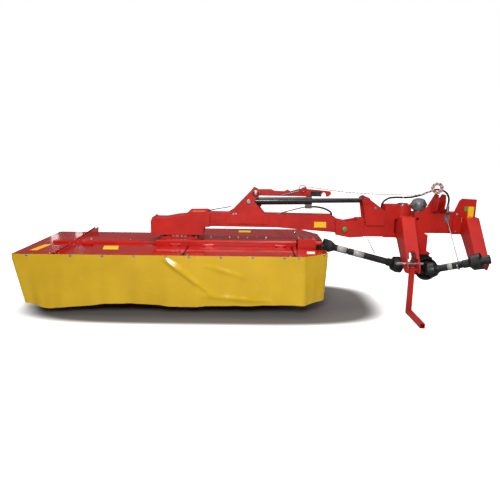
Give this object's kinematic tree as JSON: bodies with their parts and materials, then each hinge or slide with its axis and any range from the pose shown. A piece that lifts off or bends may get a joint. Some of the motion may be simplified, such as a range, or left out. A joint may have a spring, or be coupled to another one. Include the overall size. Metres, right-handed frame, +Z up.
{
  "type": "drum mower",
  "caption": "Rear three-point drum mower: wide red deck with yellow curtain under a centre lifting arm, headstock with breakaway pivot, drive shafts and parking leg.",
  "frame": {"origin": "on the ground under the middle of the parked machine", "axes": "+Z up, +X from the deck towards the headstock, +Y rearward, the tractor on the -Y side"},
  "size_m": [4.609, 1.446, 1.284],
  "materials": {
    "red_paint": "gloss red paint",
    "black_plastic": "black guard plastic",
    "zinc_steel": "zinc plated steel",
    "yellow_curtain": "glossy coated curtain fabric",
    "cast_iron": "black painted casting",
    "hose_rubber": "black rubber hose",
    "rope": "red and white braided cord",
    "black_paint": "black paint"
  },
  "bodies": {
    "headstock": {"hitch_beam": "red_paint", "left_leg": "red_paint", "right_leg": "red_paint", "hitch_pins": "zinc_steel", "mast": "red_paint", "side_plate": "red_paint", "headstock_gearbox": "cast_iron", "input_bell": "black_plastic", "pto_joint": "zinc_steel", "pto_guard": "black_plastic", "pto_yoke": "zinc_steel", "shaft_hook": "zinc_steel", "accumulator": "zinc_steel", "hydraulic_hose": "hose_rubber", "hose_coupler": "zinc_steel", "rope_coil": "rope", "rope_tail": "rope"},
    "stand": {"parking_stand": "red_paint"},
    "carrier": {"carrier_beam": "red_paint", "pivot_pin": "zinc_steel", "cylinder_lug": "red_paint", "rope_run": "rope", "feed_hose": "hose_rubber"},
    "arm": {"arm_beam": "red_paint", "arm_head": "red_paint", "arm_bracket": "red_paint", "lift_pin": "zinc_steel", "float_pin": "zinc_steel"},
    "lock_hook": {"lock_hook": "red_paint"},
    "cylinder_barrel": {"cylinder_barrel": "black_paint"},
    "cylinder_rod": {"cylinder_rod": "black_paint"},
    "deck": {"gear_case": "red_paint", "deck_bracket": "red_paint", "top_cover": "red_paint", "end_covers": "red_paint", "strip_bars": "red_paint", "input_gearbox": "red_paint", "fixed_curtain": "yellow_curtain", "flap_hinges": "zinc_steel"},
    "left_flap": {"left_flap": "red_paint", "left_curtain": "yellow_curtain"},
    "right_flap": {"right_flap": "red_paint", "right_curtain": "yellow_curtain"},
    "drive_tube": {"drive_yoke": "zinc_steel", "drive_tube": "black_plastic"},
    "drive_rod": {"drive_rod": "black_plastic"},
    "drum_1": {"drum_1": "red_paint", "blades_1": "zinc_steel"},
    "skid_1": {"skid_1": "zinc_steel"},
    "drum_2": {"drum_2": "red_paint", "blades_2": "zinc_steel"},
    "skid_2": {"skid_2": "zinc_steel"},
    "drum_3": {"drum_3": "red_paint", "blades_3": "zinc_steel"},
    "skid_3": {"skid_3": "zinc_steel"},
    "drum_4": {"drum_4": "red_paint", "blades_4": "zinc_steel"},
    "skid_4": {"skid_4": "zinc_steel"}
  },
  "joints": [
    {"name": "stand_fold", "type": "hinge", "parent": "headstock", "child": "stand", "pos_m": [1.5365, -0.323, 0.452], "axis": [-1, 0, 0], "range_deg": [0, 95]},
    {"name": "breakaway", "type": "hinge", "parent": "headstock", "child": "carrier", "pos_m": [1.5515, 0.177, 0.8], "axis": [0, 0, -1], "range_deg": [0, 40]},
    {"name": "lift", "type": "hinge", "parent": "carrier", "child": "arm", "pos_m": [0.9315, 0.177, 0.781], "axis": [0, 1, 0], "range_deg": [-10, 90], "deforming": ["rope_run"]},
    {"name": "deck_float", "type": "hinge", "parent": "arm", "child": "deck", "pos_m": [-0.7985, 0.177, 0.8], "axis": [0, 1, 0], "range_deg": [0, 6]},
    {"name": "lock_drop", "type": "hinge", "parent": "arm", "child": "lock_hook", "pos_m": [-0.0035, 0.177, 1.14], "axis": [0, 1, 0], "range_deg": [0, 9]},
    {"name": "barrel_tilt", "type": "hinge", "parent": "arm", "child": "cylinder_barrel", "pos_m": [-0.0745, 0.177, 1.055], "axis": [0, 1, 0], "range_deg": [-0.7, 6.2]},
    {"name": "rod_slide", "type": "slide", "parent": "cylinder_barrel", "child": "cylinder_rod", "axis": [0.9998, 0, 0.018], "range_m": [-0.52, 0.06]},
    {"name": "left_flap_fold", "type": "hinge", "parent": "deck", "child": "left_flap", "pos_m": [-0.7985, -0.041, 0.618], "axis": [-1, 0, 0], "range_deg": [0, 100]},
    {"name": "right_flap_fold", "type": "hinge", "parent": "deck", "child": "right_flap", "pos_m": [-0.7985, -0.041, 0.618], "axis": [-1, 0, 0], "range_deg": [0, 100]},
    {"name": "shaft_swing", "type": "hinge", "parent": "carrier", "child": "drive_tube", "pos_m": [1.5015, -0.043, 0.43], "axis": [0, 1, 0], "range_deg": [-4, 28]},
    {"name": "shaft_slide", "type": "slide", "parent": "drive_tube", "child": "drive_rod", "axis": [-0.9681, 0, 0.2506], "range_m": [-0.01, 0.07]},
    {"name": "drum_1_spin", "type": "hinge", "parent": "deck", "child": "drum_1", "pos_m": [-1.8485, 0.177, 0.3], "axis": [0, 0, 1], "continuous": true},
    {"name": "skid_1_spin", "type": "hinge", "parent": "drum_1", "child": "skid_1", "pos_m": [-1.8485, 0.177, 0.02], "axis": [0, 0, 1], "continuous": true},
    {"name": "drum_2_spin", "type": "hinge", "parent": "deck", "child": "drum_2", "pos_m": [-1.1485, 0.177, 0.3], "axis": [0, 0, 1], "continuous": true},
    {"name": "skid_2_spin", "type": "hinge", "parent": "drum_2", "child": "skid_2", "pos_m": [-1.1485, 0.177, 0.02], "axis": [0, 0, 1], "continuous": true},
    {"name": "drum_3_spin", "type": "hinge", "parent": "deck", "child": "drum_3", "pos_m": [-0.4485, 0.177, 0.3], "axis": [0, 0, 1], "continuous": true},
    {"name": "skid_3_spin", "type": "hinge", "parent": "drum_3", "child": "skid_3", "pos_m": [-0.4485, 0.177, 0.02], "axis": [0, 0, 1], "continuous": true},
    {"name": "drum_4_spin", "type": "hinge", "parent": "deck", "child": "drum_4", "pos_m": [0.2515, 0.177, 0.3], "axis": [0, 0, 1], "continuous": true},
    {"name": "skid_4_spin", "type": "hinge", "parent": "drum_4", "child": "skid_4", "pos_m": [0.2515, 0.177, 0.02], "axis": [0, 0, 1], "continuous": true}
  ],
  "couplings": [
    {"joint": "drum_2_spin", "follows": "drum_1_spin", "ratio": -1},
    {"joint": "drum_3_spin", "follows": "drum_1_spin", "ratio": 1},
    {"joint": "drum_4_spin", "follows": "drum_1_spin", "ratio": -1},
    {"joint": "barrel_tilt", "follows": "lift", "ratio": 0.06605},
    {"joint": "rod_slide", "follows": "lift", "m_per_rad": -0.3225},
    {"joint": "shaft_swing", "follows": "lift", "ratio": 0.30534},
    {"joint": "shaft_slide", "follows": "lift", "m_per_rad": 0.04148}
  ]
}
